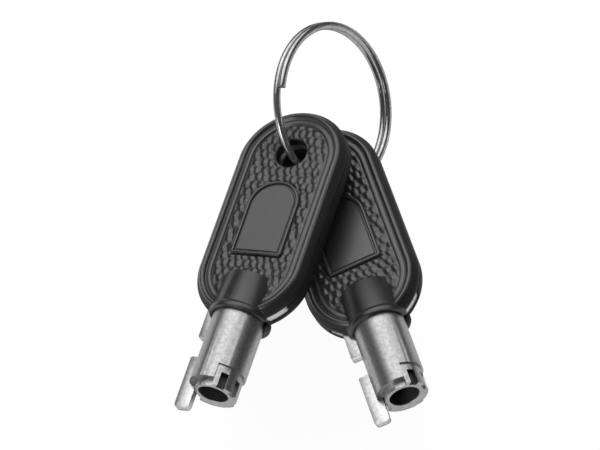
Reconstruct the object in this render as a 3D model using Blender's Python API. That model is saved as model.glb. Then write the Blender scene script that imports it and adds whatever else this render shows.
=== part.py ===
"""Two barrel keys with moulded heads, linked by a two-turn split ring.

Each key is modelled in its own frame: origin at the centre of its ring hole, +Y to the
top of the head, +X to the right and +Z out of the front.  The frame is then placed in the
resting pose, in which the keys lean on each other on a table.  All sizes are millimetres.
"""
import math

import bmesh
import bpy
from mathutils import Matrix, Vector

MM = 0.001

# Head outline: a slot shape, widest near the joint between the two covers.
HEAD_HALF_WIDTH = 8.6
HEAD_TOP = 7.97
HEAD_BOTTOM = -27.94
ARC_STEPS = 22

# Rim profile from the side wall inward: (distance in from the outline, height).
RIM_PROFILE = (
    (0.00, -0.60),
    (0.00, 1.05),
    (0.20, 1.50),
    (0.50, 1.95),
    (0.82, 2.30),
    (1.10, 2.45),
    (1.40, 2.36),
    (1.62, 2.06),
    (1.72, 1.98),
    (1.84, 2.07),
    (2.40, 2.07),
    (2.55, 1.85),
)
PANEL_HEIGHT = 1.85

# Where each cover ends at the joint, and how far its collar runs down the barrel.
FRONT_JOINT = 0.65
REAR_JOINT = -0.35
FRONT_COLLAR_END = -27.3
REAR_COLLAR_END = -27.6
COLLAR_START = -20.9
COLLAR_RADIUS = (4.05, 4.35)
FRONT_LIP_RADIUS = 4.55
REAR_LIP_RADIUS = 4.75
COLLAR_LIP_LENGTH = 0.95
COLLAR_EDGE = 0.15
COLLAR_STEPS = 28

# Plain plaque on the front panel, with a raised bead round its field.
PLAQUE_HALF_WIDTH = 4.1
PLAQUE_BOTTOM = -17.3
PLAQUE_TOP = -4.6
PLAQUE_CORNER = 0.6
PLAQUE_ARC_STEPS = 20
PLAQUE_CORNER_STEPS = 4

# Plaque profile from its root inward: (distance in from the outline, height).
PLAQUE_PROFILE = ((0.00, 1.50), (0.00, 2.12), (0.13, 2.26), (0.42, 2.26), (0.56, 2.06))

# Ring hole, and the pegs that key the two covers together.
RING_HOLE_Y = 0.45
RING_HOLE_RADIUS = 2.4
RING_HOLE_FLARE = 0.25
PEG_POSITIONS = ((0.0, -8.2), (0.0, -16.0))
PEG_RADIUS = 1.0
PEG_REACH = -1.2
PEG_ROOT = 0.5
SOCKET_DEPTH = 1.5

# Gap between pieces that touch in the real key.
CLEARANCE = 0.3

# How far a cutting tool runs past the faces it cuts.
OVERRUN = 2.0

# Steps round the small circles of pegs and pins, and round the ring hole.
PEG_STEPS = 24
HOLE_STEPS = 40

# Core plate, with the side fin that runs along the barrel.
PLATE_BACK = -0.75
PLATE_FRONT = 0.35
PLATE_INSET = 1.8
PLATE_END_INSET = 0.15
PLATE_WEB_END = -24.1
FIN_OUTER = -5.3
FIN_INNER = -3.0
FIN_CORE = -3.65
FIN_TIP = -42.0
FIN_CORNER = 0.55
NOTCH_CORNER = 0.3
NOTCH_TOP = -30.67
NOTCH_BOTTOM = -33.78

# Barrel.
BARREL_RADIUS = 3.81
BARREL_END = -39.36
BARREL_SHOULDER = -26.5
NECK_RADIUS = 3.3
NECK_END = -21.6
BORE_RADIUS = 2.2
BORE_FLOOR = -27.2
BARREL_STEPS = 56
END_CHAMFER = 0.13

# Cuts in the end of the barrel; angles are from the front towards the right.
RIM_WALL_RADIUS = 2.85
SHALLOW_CUT = (-125.0, 21.0, 1.0)
DEEP_CUT = (20.0, 150.0, 3.3)
DEEP_CUT_RADIUS = 3.5
PIN_SLOT_ANGLES = (42.0, 84.0)
PIN_SLOT_WIDTH = 1.15
PIN_SLOT_LENGTH = 2.2
PIN_SLOT_RADIUS = 2.78
SECTOR_STEPS = 16
FIN_SLOT_FLOOR = -2.7
KERF_START = -24.4
KERF_EXTRA = 0.03

# Cross pin that ties plate and barrel.
PIN_Y = -22.9
PIN_RADIUS = 0.75
PIN_HALF_LENGTH = 2.95
PIN_EDGE = 0.15

# Split ring.
RING_MEAN_RADIUS = 11.95
WIRE_RADIAL = 1.0
WIRE_AXIAL = 0.70
WIRE_CORNER = 0.2
TURN_PITCH = 0.78
RING_JOG_ANGLE = 116.0
RING_CROSSING = (72.0, 112.0)
RING_STEPS_PER_TURN = 90

# Resting pose: hole position, then heading, pitch and roll in degrees.
KEY_POSES = {
    "left": ((-0.968, 9.231, 10.749), (-17.07, 9.72, -18.46)),
    "right": ((3.546, 9.647, 6.152), (16.43, 2.94, -19.70)),
}
RING_CENTRE = (4.737, 20.045, 11.030)
RING_AXIS = (0.7398, -0.3642, 0.5657)
RING_CUT_DIRECTION = (-0.6683, -0.3011, 0.6802)

SHARP_ANGLE = 32.0


def clear_scene():
    """Remove every object from the scene."""
    for item in list(bpy.data.objects):
        bpy.data.objects.remove(item, do_unlink=True)


def link_mesh(name, verts, faces):
    """Make a linked object from millimetre points, with its normals facing out."""
    mesh = bpy.data.meshes.new(name)
    mesh.from_pydata([tuple(c * MM for c in v) for v in verts], [], faces)
    work = bmesh.new()
    work.from_mesh(mesh)
    bmesh.ops.recalc_face_normals(work, faces=work.faces[:])
    work.to_mesh(mesh)
    work.free()
    item = bpy.data.objects.new(name, mesh)
    bpy.context.scene.collection.objects.link(item)
    return item


def loft(name, rings):
    """Join equal-sized closed rings of points in order and cap both ends."""
    count = len(rings[0])
    verts = [p for ring in rings for p in ring]
    faces = []
    for level in range(len(rings) - 1):
        low = level * count
        high = low + count
        for i in range(count):
            j = (i + 1) % count
            faces.append((low + i, low + j, high + j, high + i))
    faces.append(tuple(range(count))[::-1])
    faces.append(tuple(range(len(verts) - count, len(verts))))
    return link_mesh(name, verts, faces)


def prism(name, outline, low, high, axis="Z"):
    """Push a flat outline from low to high along Z or Y."""
    if axis == "Z":
        rings = [[(a, b, level) for a, b in outline] for level in (low, high)]
    else:
        rings = [[(a, level, b) for a, b in outline] for level in (low, high)]
    return loft(name, rings)


def lathe(name, profile, steps, axis="Z"):
    """Turn a list of (radius, height) around Z or Y; a zero radius closes the end."""
    verts = []
    rows = []
    for radius, height in profile:
        if radius == 0.0:
            rows.append([len(verts)])
            verts.append((0.0, 0.0, height))
            continue
        rows.append(list(range(len(verts), len(verts) + steps)))
        for i in range(steps):
            angle = 2.0 * math.pi * i / steps
            verts.append((radius * math.cos(angle), radius * math.sin(angle), height))
    faces = []
    for below, above in zip(rows, rows[1:]):
        for i in range(steps):
            j = (i + 1) % steps
            if len(below) == 1:
                faces.append((below[0], above[j], above[i]))
            elif len(above) == 1:
                faces.append((below[i], below[j], above[0]))
            else:
                faces.append((below[i], below[j], above[j], above[i]))
    if axis == "Y":
        verts = [(x, h, y) for x, y, h in verts]
    return link_mesh(name, verts, faces)


def combine(target, tool, operation):
    """Apply one exact Boolean to the target's mesh and remove the tool."""
    modifier = target.modifiers.new("combine", "BOOLEAN")
    modifier.operation = operation
    modifier.solver = "EXACT"
    modifier.object = tool
    depsgraph = bpy.context.evaluated_depsgraph_get()
    result = bpy.data.meshes.new_from_object(target.evaluated_get(depsgraph))
    target.modifiers.remove(modifier)
    old = target.data
    target.data = result
    bpy.data.meshes.remove(old)
    bpy.data.objects.remove(tool, do_unlink=True)
    return target


def cut(target, tool):
    """Take the tool away from the target."""
    return combine(target, tool, "DIFFERENCE")


def join(target, tool):
    """Add the tool to the target."""
    return combine(target, tool, "UNION")


def arc(cx, cy, radius, start, end, steps):
    """Points on a circle from start to end degrees, both ends included."""
    points = []
    for i in range(steps + 1):
        angle = math.radians(start + (end - start) * i / steps)
        points.append((cx + radius * math.cos(angle), cy + radius * math.sin(angle)))
    return points


def circle(cx, cy, radius, steps):
    """Points once round a circle."""
    return arc(cx, cy, radius, 0.0, 360.0, steps)[:-1]


def head_outline(inset):
    """Slot outline of the head, moved in by inset."""
    radius = HEAD_HALF_WIDTH - inset
    top = arc(0.0, HEAD_TOP - HEAD_HALF_WIDTH, radius, 0.0, 180.0, ARC_STEPS)
    bottom = arc(0.0, HEAD_BOTTOM + HEAD_HALF_WIDTH, radius, 180.0, 360.0, ARC_STEPS)
    return top + bottom


def box(name, low, high):
    """Block between two corners."""
    outline = [(low[0], low[1]), (high[0], low[1]), (high[0], high[1]), (low[0], high[1])]
    return prism(name, outline, low[2], high[2])


def head_blank():
    """Head half with its rim bead, groove, ledge and recessed panel, facing +Z."""
    rings = []
    for inset, height in RIM_PROFILE:
        rings.append([(x, y, height) for x, y in head_outline(inset)])
    return loft("cover", rings)


def collar_blank(collar_end, lip_radius):
    """Tapered collar around the front of the barrel, with a lip at its open end."""
    lip_top = collar_end + COLLAR_LIP_LENGTH
    narrow, wide = COLLAR_RADIUS
    stations = (
        (collar_end, lip_radius - COLLAR_EDGE),
        (collar_end + COLLAR_EDGE, lip_radius),
        (lip_top - COLLAR_EDGE, lip_radius),
        (lip_top, wide),
        (COLLAR_START - COLLAR_EDGE, narrow),
        (COLLAR_START, narrow - COLLAR_EDGE),
    )
    rings = []
    for y, radius in stations:
        curve = arc(0.0, 0.0, radius, 0.0, 180.0, COLLAR_STEPS)
        ring = [(x, y, z) for x, z in curve]
        ring.append((-radius, y, REAR_JOINT - CLEARANCE))
        ring.append((radius, y, REAR_JOINT - CLEARANCE))
        rings.append(ring)
    return loft("collar", rings)


def barrel_channel():
    """Space for the barrel inside the collar: a wide mouth and a narrower neck."""
    mouth = BARREL_RADIUS + CLEARANCE
    neck = NECK_RADIUS + CLEARANCE
    step = BARREL_SHOULDER + CLEARANCE
    end = NECK_END + CLEARANCE
    open_end = HEAD_BOTTOM - OVERRUN
    profile = (
        (0.0, open_end),
        (mouth, open_end),
        (mouth, step),
        (neck, step),
        (neck, end),
        (0.0, end),
    )
    return lathe("channel", profile, BARREL_STEPS, "Y")


def hole_tool():
    """Ring hole through a cover, flared where it meets the panel."""
    wide = RING_HOLE_RADIUS + RING_HOLE_FLARE
    profile = (
        (0.0, -OVERRUN),
        (RING_HOLE_RADIUS, -OVERRUN),
        (RING_HOLE_RADIUS, PANEL_HEIGHT - RING_HOLE_FLARE),
        (wide, PANEL_HEIGHT),
        (wide, PANEL_HEIGHT + OVERRUN),
        (0.0, PANEL_HEIGHT + OVERRUN),
    )
    item = lathe("hole", profile, HOLE_STEPS)
    item.data.transform(Matrix.Translation((0.0, RING_HOLE_Y * MM, 0.0)))
    return item


def plaque_outline(inset):
    """Arched tablet: square foot with small corners, half-round top."""
    half = PLAQUE_HALF_WIDTH - inset
    foot = PLAQUE_BOTTOM + inset
    corner = PLAQUE_CORNER
    steps = PLAQUE_CORNER_STEPS
    points = arc(0.0, PLAQUE_TOP - PLAQUE_HALF_WIDTH, half, 0.0, 180.0, PLAQUE_ARC_STEPS)
    points += arc(-half + corner, foot + corner, corner, 180.0, 270.0, steps)
    points += arc(half - corner, foot + corner, corner, 270.0, 360.0, steps)
    return points


def plaque():
    """Plain plaque: a flat field inside a raised bead."""
    rings = []
    for inset, height in PLAQUE_PROFILE:
        rings.append([(x, y, height) for x, y in plaque_outline(inset)])
    return loft("plaque", rings)


def cover_blank(joint, collar_end, lip_radius):
    """Cover in its outward-facing frame, trimmed flat at the joint."""
    item = join(head_blank(), collar_blank(collar_end, lip_radius))
    side = HEAD_HALF_WIDTH + OVERRUN
    low = (-side, HEAD_BOTTOM - OVERRUN, -OVERRUN)
    cut(item, box("trim", low, (side, HEAD_TOP + OVERRUN, joint)))
    cut(item, barrel_channel())
    cut(item, hole_tool())
    return item


def front_cover():
    """Front cover with plaque and two locating pegs."""
    item = cover_blank(FRONT_JOINT, FRONT_COLLAR_END, FRONT_LIP_RADIUS)
    join(item, plaque())
    for x, y in PEG_POSITIONS:
        points = circle(x, y, PEG_RADIUS, PEG_STEPS)
        join(item, prism("peg", points, PEG_REACH, FRONT_JOINT + PEG_ROOT))
    return item


def plate_pocket():
    """Pocket for the core plate, open at the bottom of the head."""
    half = HEAD_HALF_WIDTH - PLATE_INSET + CLEARANCE
    outline = arc(0.0, HEAD_TOP - HEAD_HALF_WIDTH, half, 0.0, 180.0, ARC_STEPS)
    outline += [(-half, HEAD_BOTTOM - OVERRUN), (half, HEAD_BOTTOM - OVERRUN)]
    floor = CLEARANCE - PLATE_BACK
    return prism("pocket", outline, -OVERRUN, floor)


def rear_cover():
    """Rear cover with the plate pocket and two peg sockets."""
    item = cover_blank(REAR_JOINT, REAR_COLLAR_END, REAR_LIP_RADIUS)
    cut(item, plate_pocket())
    for x, y in PEG_POSITIONS:
        points = circle(x, y, PEG_RADIUS + CLEARANCE, PEG_STEPS)
        cut(item, prism("socket", points, -OVERRUN, SOCKET_DEPTH))
    mirror_depth(item)
    return item


def mirror_depth(item):
    """Turn an outward-facing cover over, so that it faces -Z."""
    item.data.transform(Matrix.Diagonal((1.0, 1.0, -1.0, 1.0)))
    item.data.flip_normals()


def outline_end(x, inset):
    """Height of the head's lower arc at x."""
    radius = HEAD_HALF_WIDTH - inset
    return HEAD_BOTTOM + HEAD_HALF_WIDTH - math.sqrt(radius * radius - x * x)


def lower_arc(start, end, steps=8):
    """Points of the head's lower arc between two x positions."""
    points = []
    for i in range(steps + 1):
        x = start + (end - start) * i / steps
        points.append((x, outline_end(x, PLATE_END_INSET)))
    return points


def plate_outline():
    """Core plate with its two feet and the notched side fin."""
    half = HEAD_HALF_WIDTH - PLATE_INSET
    slot = BARREL_RADIUS + CLEARANCE
    corner = FIN_CORNER
    small = NOTCH_CORNER
    points = arc(0.0, HEAD_TOP - HEAD_HALF_WIDTH, half, 0.0, 180.0, ARC_STEPS)
    points += lower_arc(-half, FIN_OUTER)
    points += arc(FIN_OUTER + small, NOTCH_TOP + small, small, 180.0, 270.0, 4)
    points += [(FIN_CORE, NOTCH_TOP), (FIN_CORE, NOTCH_BOTTOM)]
    points += arc(FIN_OUTER + small, NOTCH_BOTTOM - small, small, 90.0, 180.0, 4)
    points += arc(FIN_OUTER + corner, FIN_TIP + corner, corner, 180.0, 270.0, 6)
    points += arc(FIN_INNER - corner, FIN_TIP + corner, corner, 270.0, 360.0, 6)
    points += [(FIN_INNER, PLATE_WEB_END), (slot, PLATE_WEB_END)]
    points += lower_arc(slot, half)
    return points


def core_plate():
    """Flat metal core with the ring hole, peg holes and cross pin hole."""
    item = prism("plate", plate_outline(), PLATE_BACK, PLATE_FRONT)
    holes = [(0.0, RING_HOLE_Y, RING_HOLE_RADIUS + 0.1)]
    holes += [(x, y, PEG_RADIUS + CLEARANCE) for x, y in PEG_POSITIONS]
    holes += [(0.0, PIN_Y, PIN_RADIUS + CLEARANCE)]
    for x, y, radius in holes:
        points = circle(x, y, radius, HOLE_STEPS)
        cut(item, prism("hole", points, -OVERRUN, OVERRUN))
    return item


def barrel_blank():
    """Turned barrel with its blind bore and the narrower neck inside the head."""
    edge = END_CHAMFER
    profile = (
        (0.0, BORE_FLOOR),
        (BORE_RADIUS, BORE_FLOOR),
        (BORE_RADIUS, BARREL_END + edge),
        (BORE_RADIUS + edge, BARREL_END),
        (BARREL_RADIUS - edge, BARREL_END),
        (BARREL_RADIUS, BARREL_END + edge),
        (BARREL_RADIUS, BARREL_SHOULDER),
        (NECK_RADIUS, BARREL_SHOULDER),
        (NECK_RADIUS, NECK_END - edge),
        (NECK_RADIUS - edge, NECK_END),
        (0.0, NECK_END),
    )
    return lathe("barrel", profile, BARREL_STEPS, "Y")


def sector_tool(start, end, depth, inner):
    """Wedge of the barrel wall outside a radius, cut in from the open end."""
    outer = BARREL_RADIUS + OVERRUN
    inside = arc(0.0, 0.0, inner, 90.0 - start, 90.0 - end, SECTOR_STEPS)
    outside = arc(0.0, 0.0, outer, 90.0 - end, 90.0 - start, SECTOR_STEPS)
    return prism("sector", inside + outside, BARREL_END - OVERRUN, BARREL_END + depth, "Y")


def pin_slot_tool(angle):
    """Straight slot in the barrel's end for one lock pin."""
    half = PIN_SLOT_WIDTH / 2.0
    near = PIN_SLOT_RADIUS
    far = BARREL_RADIUS + OVERRUN
    sine = math.sin(math.radians(angle))
    cosine = math.cos(math.radians(angle))
    outline = []
    for out, side in ((near, -half), (far, -half), (far, half), (near, half)):
        outline.append((out * sine + side * cosine, out * cosine - side * sine))
    return prism("slot", outline, BARREL_END - OVERRUN, BARREL_END + PIN_SLOT_LENGTH, "Y")


def barrel():
    """Barrel with the coded end, the fin slot, the kerf and the cross pin hole."""
    item = barrel_blank()
    cut(item, sector_tool(*SHALLOW_CUT, RIM_WALL_RADIUS))
    cut(item, sector_tool(*DEEP_CUT, DEEP_CUT_RADIUS))
    for angle in PIN_SLOT_ANGLES:
        cut(item, pin_slot_tool(angle))
    low = PLATE_BACK - CLEARANCE
    high = PLATE_FRONT + CLEARANCE
    side = BARREL_RADIUS + OVERRUN
    start = (-side, BARREL_END - OVERRUN, low)
    cut(item, box("fin_slot", start, (FIN_SLOT_FLOOR, NECK_END + OVERRUN, high)))
    low -= KERF_EXTRA
    high += KERF_EXTRA
    cut(item, box("kerf", (-side, KERF_START, low), (side, NECK_END + OVERRUN, high)))
    points = circle(0.0, PIN_Y, PIN_RADIUS + CLEARANCE, PEG_STEPS)
    cut(item, prism("pin_hole", points, -side, side))
    return item


def cross_pin():
    """Plain pin through the barrel's neck and the plate."""
    edge = PIN_EDGE
    profile = (
        (0.0, -PIN_HALF_LENGTH),
        (PIN_RADIUS - edge, -PIN_HALF_LENGTH),
        (PIN_RADIUS, -PIN_HALF_LENGTH + edge),
        (PIN_RADIUS, PIN_HALF_LENGTH - edge),
        (PIN_RADIUS - edge, PIN_HALF_LENGTH),
        (0.0, PIN_HALF_LENGTH),
    )
    item = lathe("pin", profile, PEG_STEPS)
    item.data.transform(Matrix.Translation((0.0, PIN_Y * MM, 0.0)))
    return item


def wire_section():
    """Rounded rectangle of the ring wire: (outward, along the ring's axis)."""
    wide = WIRE_RADIAL / 2.0 - WIRE_CORNER
    high = WIRE_AXIAL / 2.0 - WIRE_CORNER
    points = []
    for sx, sy, start in ((1, 1, 0.0), (-1, 1, 90.0), (-1, -1, 180.0), (1, -1, 270.0)):
        points += arc(sx * wide, sy * high, WIRE_CORNER, start, start + 90.0, 2)
    return points


def wire_height(turned):
    """Axial position of the wire's centre after turning so many degrees from its end."""
    start = 360.0 - RING_CROSSING[1]
    end = 360.0 - RING_CROSSING[0]
    share = min(1.0, max(0.0, (turned - start) / (end - start)))
    smooth = share * share * (3.0 - 2.0 * share)
    return TURN_PITCH * (0.5 - smooth)


def split_ring():
    """Two flat turns of wire joined by one crossing, with both ends cut square."""
    total = 720.0 - RING_JOG_ANGLE
    count = int(RING_STEPS_PER_TURN * total / 360.0)
    section = wire_section()
    rings = []
    for i in range(count + 1):
        turned = total * i / count
        angle = math.radians(-turned)
        height = wire_height(turned)
        ring = []
        for out, along in section:
            radius = RING_MEAN_RADIUS + out
            ring.append((radius * math.cos(angle), radius * math.sin(angle), height + along))
        rings.append(ring)
    return loft("split_ring", rings)


def ring_matrix():
    """Placement of the ring: its axis, and the direction of its visible cut end."""
    axis = Vector(RING_AXIS).normalized()
    across = Vector(RING_CUT_DIRECTION)
    across = (across - axis * across.dot(axis)).normalized()
    side = axis.cross(across)
    turn = Matrix((across, side, axis)).transposed().to_4x4()
    return Matrix.Translation(Vector(RING_CENTRE) * MM) @ turn


def key_matrix(position, angles):
    """Placement of a key from its hole position, heading, pitch and roll."""
    heading, pitch, roll = (math.radians(a) for a in angles)
    turn = Matrix.Rotation(heading, 4, "Z")
    turn = turn @ Matrix.Rotation(pitch, 4, "X")
    turn = turn @ Matrix.Rotation(roll, 4, "Y")
    return Matrix.Translation(Vector(position) * MM) @ turn


def finish(item, name, material):
    """Name the piece, drop stray splinters, shade it and give it its material."""
    work = bmesh.new()
    work.from_mesh(item.data)
    bmesh.ops.remove_doubles(work, verts=work.verts[:], dist=0.00001)
    bmesh.ops.dissolve_degenerate(work, edges=work.edges[:], dist=0.000005)
    bmesh.ops.recalc_face_normals(work, faces=work.faces[:])
    work.to_mesh(item.data)
    work.free()
    item.name = name
    item.data.name = name
    item.data.materials.clear()
    item.data.materials.append(material)
    item.data.polygons.foreach_set("use_smooth", [True] * len(item.data.polygons))
    item.data.set_sharp_from_angle(angle=math.radians(SHARP_ANGLE))
    return item


def make_material(name, colour, metallic, roughness):
    """Principled material with a plain colour."""
    material = bpy.data.materials.new(name)
    material.use_nodes = True
    shader = material.node_tree.nodes["Principled BSDF"]
    shader.inputs["Base Color"].default_value = (*colour, 1.0)
    shader.inputs["Metallic"].default_value = metallic
    shader.inputs["Roughness"].default_value = roughness
    return material


PLASTIC = (0.028, 0.028, 0.030)
NICKEL = (0.78, 0.77, 0.74)
STEEL = (0.72, 0.72, 0.73)

PIECES = (
    ("front_cover", front_cover, PLASTIC, 0.0, 0.45),
    ("rear_cover", rear_cover, PLASTIC, 0.0, 0.45),
    ("core_plate", core_plate, NICKEL, 1.0, 0.28),
    ("barrel", barrel, NICKEL, 1.0, 0.2),
    ("cross_pin", cross_pin, STEEL, 1.0, 0.35),
)


def build_key(side):
    """One key: every piece hangs from an empty at the centre of the ring hole."""
    pivot = bpy.data.objects.new(side + "_key_pivot", None)
    bpy.context.scene.collection.objects.link(pivot)
    pivot.empty_display_size = 0.004
    pivot.matrix_world = key_matrix(*KEY_POSES[side])
    for name, maker, colour, metallic, roughness in PIECES:
        full = side + "_" + name
        material = make_material(full, colour, metallic, roughness)
        item = finish(maker(), full, material)
        item.parent = pivot


def build_ring():
    """Split ring in its leaning rest position."""
    material = make_material("split_ring", STEEL, 1.0, 0.18)
    item = finish(split_ring(), "split_ring", material)
    item.matrix_world = ring_matrix()


def main():
    """Build the whole key set."""
    clear_scene()
    build_ring()
    for side in KEY_POSES:
        build_key(side)


main()
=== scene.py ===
"""Looks of two barrel keys on a split ring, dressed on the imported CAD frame.

Each key is shaped in its own frame, in millimetres: the origin lies in its ring hole, +Y runs
to the top of the head and +Z out of the front.  A finished mesh is then moved to the key's
resting place, so that every object stays at the world's origin.
"""
import logging
import math
from dataclasses import dataclass
from enum import Enum

import bmesh
import bpy
from mathutils import Matrix, Vector


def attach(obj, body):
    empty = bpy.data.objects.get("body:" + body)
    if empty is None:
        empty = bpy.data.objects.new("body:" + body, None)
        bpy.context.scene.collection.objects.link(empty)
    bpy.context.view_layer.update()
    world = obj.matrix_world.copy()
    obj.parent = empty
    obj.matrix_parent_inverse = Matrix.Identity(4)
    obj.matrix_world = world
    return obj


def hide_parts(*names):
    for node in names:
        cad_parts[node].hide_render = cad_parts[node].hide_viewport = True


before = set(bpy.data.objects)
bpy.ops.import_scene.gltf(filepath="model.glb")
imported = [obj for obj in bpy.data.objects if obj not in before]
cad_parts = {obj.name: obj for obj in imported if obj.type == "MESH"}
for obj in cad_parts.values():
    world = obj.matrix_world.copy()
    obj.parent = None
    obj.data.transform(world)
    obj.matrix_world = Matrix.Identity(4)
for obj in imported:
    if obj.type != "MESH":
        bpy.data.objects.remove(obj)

BMesh = bmesh.types.BMesh
BMVert = bmesh.types.BMVert
BMEdge = bmesh.types.BMEdge
Socket = bpy.types.NodeSocket
Flat = tuple[float, float]
Point = tuple[float, float, float]

LOG = logging.getLogger("key_set")
MM = 0.001
LOCAL = "local_mm"
SMOOTH_ANGLE = math.radians(34.0)
FULL_TURN = 360.0
QUARTER_TURN = 90.0
QUAD_SIDES = 4

# Lengths in millimetres below which two places count as one.
NO_LENGTH = 1e-6
LATHE_WELD = 1e-5
SAME_PLACE = 1e-4


class Side(Enum):
    """Which of the two keys, as they lie."""

    LEFT = "left"
    RIGHT = "right"


class Operation(Enum):
    """What a tool does to a solid."""

    CUT = "DIFFERENCE"
    JOIN = "UNION"


class Zone(Enum):
    """Zone of a cover with a plastic of its own; the value is its material number."""

    FACE = 0
    # Side walls of the head; their plastic is a darker, less glossy copy of the cover plastic:
    # painted shade.
    WALL = 1
    COLLAR = 2


@dataclass(frozen=True)
class Pose:
    """Resting place of a key: its origin in millimetres, and its turns in degrees."""

    origin: Point
    heading: float
    pitch: float
    roll: float

    def matrix(self) -> Matrix:
        """Work out the key's place from its origin and turns.

        Returns:
            The matrix from key millimetres to world metres.
        """
        turn = Matrix.Rotation(math.radians(self.heading), 4, "Z")
        turn = turn @ Matrix.Rotation(math.radians(self.pitch), 4, "X")
        turn = turn @ Matrix.Rotation(math.radians(self.roll), 4, "Y")
        place = Matrix.Translation(Vector(self.origin) * MM)
        return place @ turn @ Matrix.Scale(MM, 4)


POSES = {
    Side.LEFT: Pose((-0.968, 9.231, 10.749), -17.07, 9.72, -18.46),
    Side.RIGHT: Pose((3.546, 9.647, 6.152), 16.43, 2.94, -19.70),
}


# ---------------------------------------------------------------- mesh helpers


def mesh_of(bm: BMesh, name: str) -> bpy.types.Mesh:
    """Write a bmesh into a new mesh and free it.

    Args:
        bm: The shape; it can't be used afterwards.
        name: Name of the mesh.

    Returns:
        The new mesh.
    """
    mesh = bpy.data.meshes.new(name)
    bm.to_mesh(mesh)
    bm.free()
    return mesh


def add_object(name: str, data: bpy.types.ID) -> bpy.types.Object:
    """Add an object to the scene.

    Args:
        name: Name of the object.
        data: Its mesh, light or camera.

    Returns:
        The new object.
    """
    item = bpy.data.objects.new(name, data)
    bpy.context.scene.collection.objects.link(item)
    return item


def combine(base: BMesh, tool: BMesh, operation: Operation) -> BMesh:
    """Run one exact Boolean.

    Args:
        base: Solid that is kept; freed here.
        tool: Solid that cuts or is added; freed here.
        operation: Cut or join.

    Returns:
        A new bmesh with the result.
    """
    target = add_object("target", mesh_of(base, "target"))
    cutter = add_object("cutter", mesh_of(tool, "cutter"))
    modifier = target.modifiers.new("combine", "BOOLEAN")
    modifier.operation = operation.value
    modifier.solver = "EXACT"
    modifier.object = cutter
    result = bmesh.new()
    result.from_object(target, bpy.context.evaluated_depsgraph_get())
    for item in (target, cutter):
        mesh = item.data
        bpy.data.objects.remove(item, do_unlink=True)
        bpy.data.meshes.remove(mesh)
    return result


def close_gaps(bm: BMesh) -> None:
    """Fill a shape's open loops, if it has any, and turn its faces outwards.

    Args:
        bm: The shape.
    """
    gaps = [e for e in bm.edges if e.is_boundary]
    if gaps:
        bmesh.ops.holes_fill(bm, edges=gaps, sides=0)
        bmesh.ops.recalc_face_normals(bm, faces=bm.faces[:])


def in_order(bm: BMesh) -> BMesh:
    """Copy a shape with its vertices and faces in the order of their places.

    An exact Boolean gives the same shape each run, but not in the same order.

    Args:
        bm: The shape; freed here.

    Returns:
        The same shape, in an order that is the same each run.
    """
    ordered = sorted(bm.verts, key=lambda v: tuple(v.co))
    number = {vert: i for i, vert in enumerate(ordered)}
    loops = []
    for face in bm.faces:
        loop = [number[vert] for vert in face.verts]
        first = loop.index(min(loop))
        loops.append(loop[first:] + loop[:first])
    result = bmesh.new()
    verts = [result.verts.new(vert.co) for vert in ordered]
    for loop in sorted(loops):
        result.faces.new([verts[i] for i in loop])
    bm.free()
    return result


def lathe(profile: list[Flat], steps: int) -> BMesh:
    """Spin a profile of (radius, height along Y) a full turn about the Y axis.

    Args:
        profile: Points in order; the first and last lie on the axis.
        steps: Number of steps round.

    Returns:
        A solid of revolution.
    """
    bm = bmesh.new()
    verts = [bm.verts.new((radius, height, 0.0)) for radius, height in profile]
    edges = [bm.edges.new(pair) for pair in zip(verts, verts[1:])]
    bmesh.ops.spin(
        bm,
        geom=verts + edges,
        cent=(0.0, 0.0, 0.0),
        axis=(0.0, -1.0, 0.0),
        angle=math.radians(FULL_TURN),
        steps=steps,
        use_merge=True,
        use_duplicate=False,
    )
    bmesh.ops.remove_doubles(bm, verts=bm.verts[:], dist=LATHE_WELD)
    bmesh.ops.recalc_face_normals(bm, faces=bm.faces[:])
    return bm


def prism(outline: list[Flat], low: float, high: float, along_y: bool = False) -> BMesh:
    """Push a flat outline between two levels.

    Args:
        outline: Points (x, y), or (x, z) when pushed along Y.
        low: First level.
        high: Second level.
        along_y: Push along Y instead of Z.

    Returns:
        A closed prism.
    """
    bm = bmesh.new()
    if along_y:
        verts = [bm.verts.new((a, low, b)) for a, b in outline]
        push = Vector((0.0, high - low, 0.0))
    else:
        verts = [bm.verts.new((a, b, low)) for a, b in outline]
        push = Vector((0.0, 0.0, high - low))
    face = bm.faces.new(verts)
    pushed = bmesh.ops.extrude_face_region(bm, geom=[face], use_keep_orig=True)
    moved = [v for v in pushed["geom"] if isinstance(v, BMVert)]
    bmesh.ops.translate(bm, verts=moved, vec=push)
    bmesh.ops.recalc_face_normals(bm, faces=bm.faces[:])
    return bm


def block(low: Point, high: Point) -> BMesh:
    """Make a block between two corners.

    Args:
        low: Corner with the least coordinates.
        high: Corner with the greatest coordinates.

    Returns:
        The block.
    """
    bm = bmesh.new()
    bmesh.ops.create_cube(bm, size=1.0)
    bmesh.ops.scale(bm, verts=bm.verts[:], vec=Vector(high) - Vector(low))
    bmesh.ops.translate(bm, verts=bm.verts[:], vec=(Vector(low) + Vector(high)) / 2.0)
    return bm


def turn_about(bm: BMesh, degrees: float, axis: str) -> None:
    """Turn a shape about the X, Y or Z axis of its frame."""
    turn = Matrix.Rotation(math.radians(degrees), 3, axis)
    bmesh.ops.rotate(bm, verts=bm.verts[:], cent=(0.0, 0.0, 0.0), matrix=turn)


def arc(centre: Flat, radius: float, start: float, end: float, steps: int) -> list[Flat]:
    """List points on a circle.

    Args:
        centre: Centre of the circle.
        radius: Its radius.
        start: Angle of the first point, in degrees.
        end: Angle of the last point, in degrees.
        steps: Number of steps between them.

    Returns:
        The points, both ends included.
    """
    points = []
    for i in range(steps + 1):
        angle = math.radians(start + (end - start) * i / steps)
        points.append(
            (centre[0] + radius * math.cos(angle), centre[1] + radius * math.sin(angle))
        )
    return points


def smoothstep(low: float, high: float, value: float) -> float:
    """Rise smoothly from 0 at low to 1 at high."""
    share = min(1.0, max(0.0, (value - low) / (high - low)))
    return share * share * (3.0 - 2.0 * share)


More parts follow.
